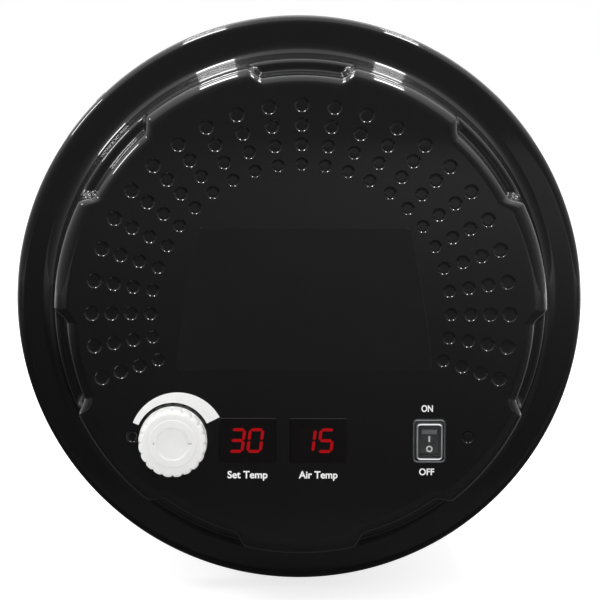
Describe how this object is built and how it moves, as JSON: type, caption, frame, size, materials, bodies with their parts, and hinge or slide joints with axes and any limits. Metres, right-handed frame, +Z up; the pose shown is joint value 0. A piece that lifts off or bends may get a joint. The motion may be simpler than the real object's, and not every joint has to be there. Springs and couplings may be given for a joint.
{
  "type": "infrared space heater",
  "caption": "Round fan-driven infrared heater head: a deep black control cover with knob, displays and rocker on a drum with a glowing disc behind a wire guard.",
  "frame": {"origin": "middle of the object's box on the plane that the cradles stand on", "axes": "+Z up, +Y along the heater's axis towards the heat outlet, so the controls face -Y"},
  "size_m": [0.334, 0.381, 0.339],
  "materials": {
    "black_enamel": "glossy stoved enamel",
    "drum_paint": "satin black powder coat",
    "dark_fastener": "blackened steel",
    "zinc_steel": "zinc plated sheet",
    "motor_steel": "drawn steel",
    "shaft_steel": "turned steel",
    "heat_steel": "heat-tinted stainless sheet",
    "glow_steel": "oxidised heat-resisting steel",
    "mirror_steel": "polished stainless dish",
    "guard_wire": "bright nickel wire",
    "fan_alloy": "pressed aluminium",
    "bronze": "sintered bronze",
    "brass": "turned brass",
    "copper": "copper",
    "white_knob": "moulded white plastic",
    "black_plastic": "moulded black plastic",
    "smoked_window": "smoked acrylic",
    "display_block": "filled plastic",
    "clear_boot": "clear soft vinyl",
    "circuit_board": "solder resist on laminate",
    "ceramic": "glazed ceramic",
    "red_lead": "silicone rubber lead"
  },
  "bodies": {
    "heater": {"rear_cover": "black_enamel", "drum_shell": "drum_paint", "front_ring": "drum_paint", "rear_cradle": "drum_paint", "front_cradle": "drum_paint", "intake_grille": "drum_paint", "cover_brackets": "drum_paint", "cover_rivets": "dark_fastener", "panel_screws": "dark_fastener", "drum_screws": "dark_fastener", "fan_shroud": "zinc_steel", "motor_bracket": "zinc_steel", "bulkhead": "zinc_steel", "nozzle_spider": "zinc_steel", "front_screws": "zinc_steel", "room_probe": "zinc_steel", "motor_can": "motor_steel", "motor_endcap": "motor_steel", "motor_stator": "motor_steel", "potentiometer": "shaft_steel", "potentiometer_nut": "shaft_steel", "ignition_electrodes": "shaft_steel", "chamber_posts": "shaft_steel", "disc_posts": "shaft_steel", "combustion_chamber": "heat_steel", "burner_tube": "heat_steel", "flame_diffuser": "heat_steel", "heat_shield": "heat_steel", "radiant_disc": "glow_steel", "reflector": "mirror_steel", "front_guard": "guard_wire", "motor_bearings": "bronze", "nozzle_carrier": "brass", "spray_nozzle": "brass", "feed_nipple": "brass", "fuel_pump": "brass", "switch_terminals": "brass", "fuel_pipe": "copper", "motor_windings": "copper", "control_bracket": "black_plastic", "switch_housing": "black_plastic", "cable_gland": "black_plastic", "gland_nut": "black_plastic", "ignition_transformer": "black_plastic", "flame_sensor": "black_plastic", "set_window": "smoked_window", "room_window": "smoked_window", "set_display": "display_block", "room_display": "display_block", "switch_boot": "clear_boot", "control_board": "circuit_board", "electrode_insulators": "ceramic", "overheat_cutout": "ceramic", "ignition_leads": "red_lead"},
    "knob": {"thermostat_knob": "white_knob", "potentiometer_spindle": "shaft_steel"},
    "rocker": {"switch_rocker": "black_plastic"},
    "fan": {"fan_impeller": "fan_alloy", "motor_shaft": "shaft_steel", "motor_rotor": "motor_steel"}
  },
  "joints": [
    {"name": "knob_turn", "type": "hinge", "parent": "heater", "child": "knob", "pos_m": [-0.0728, -0.1731, 0.0975], "axis": [0, 1, 0], "range_deg": [-170, 100]},
    {"name": "rocker_tip", "type": "hinge", "parent": "heater", "child": "rocker", "pos_m": [0.0736, -0.1706, 0.0975], "axis": [1, 0, 0], "range_deg": [0, 18]},
    {"name": "fan_spin", "type": "hinge", "parent": "heater", "child": "fan", "pos_m": [0, -0.0711, 0.172], "axis": [0, 1, 0], "continuous": true}
  ]
}
